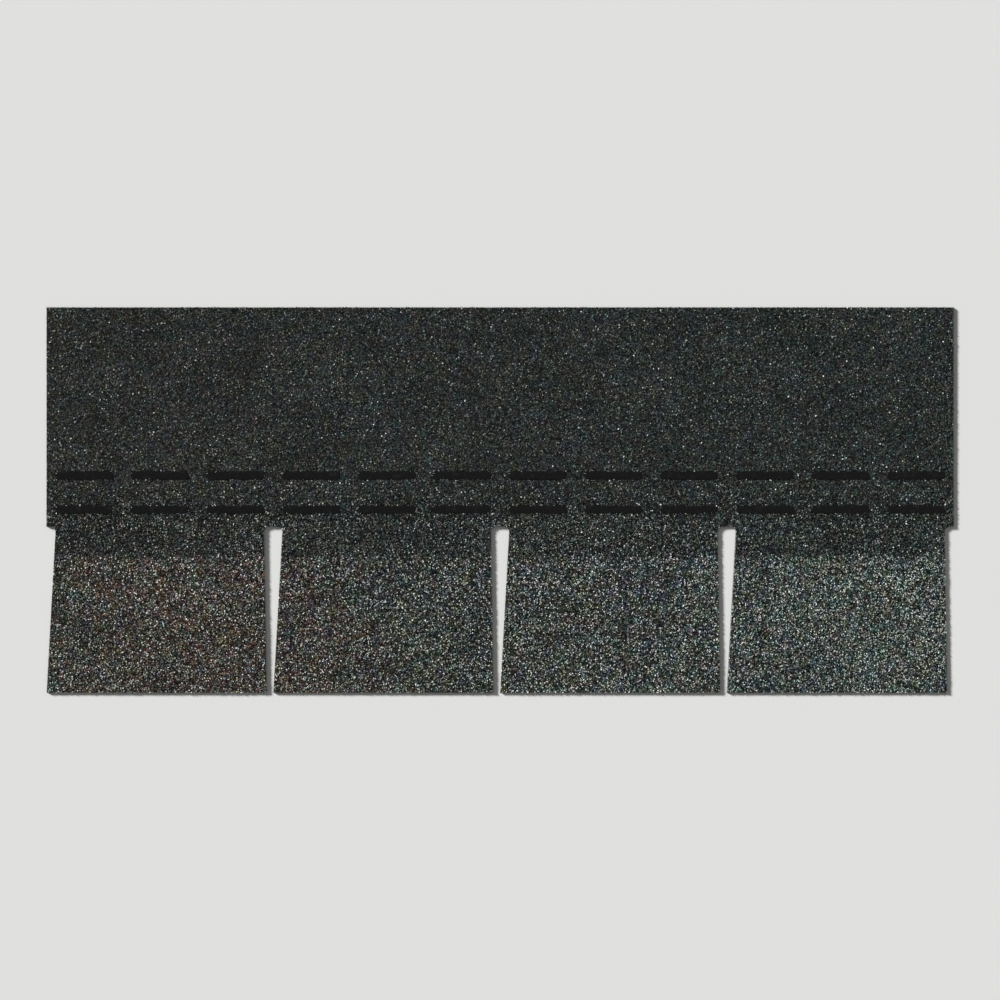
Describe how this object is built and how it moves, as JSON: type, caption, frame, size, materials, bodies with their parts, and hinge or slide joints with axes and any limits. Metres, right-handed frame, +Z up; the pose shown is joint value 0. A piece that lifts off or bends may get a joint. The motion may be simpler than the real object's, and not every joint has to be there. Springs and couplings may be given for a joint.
{
  "type": "asphalt strip shingle",
  "caption": "Asphalt strip shingle with wide tabs between tapered slots, a plain headlap with rows of self-seal adhesive dashes, and a release film on its back.",
  "frame": {"origin": "on the underside, below the middle of the strip's box", "axes": "+X along the strip, +Y up the roof from the tabs' feet to the head edge, +Z up from the granule face"},
  "size_m": [1.016, 0.4318, 0.0041],
  "materials": {
    "granule_sheet": "matte",
    "sealant": "gloss",
    "release_film": "gloss"
  },
  "bodies": {
    "root": {"shingle_strip": "granule_sheet", "sealant_line_lower": "sealant", "sealant_line_upper": "sealant", "release_film": "release_film"}
  },
  "joints": []
}
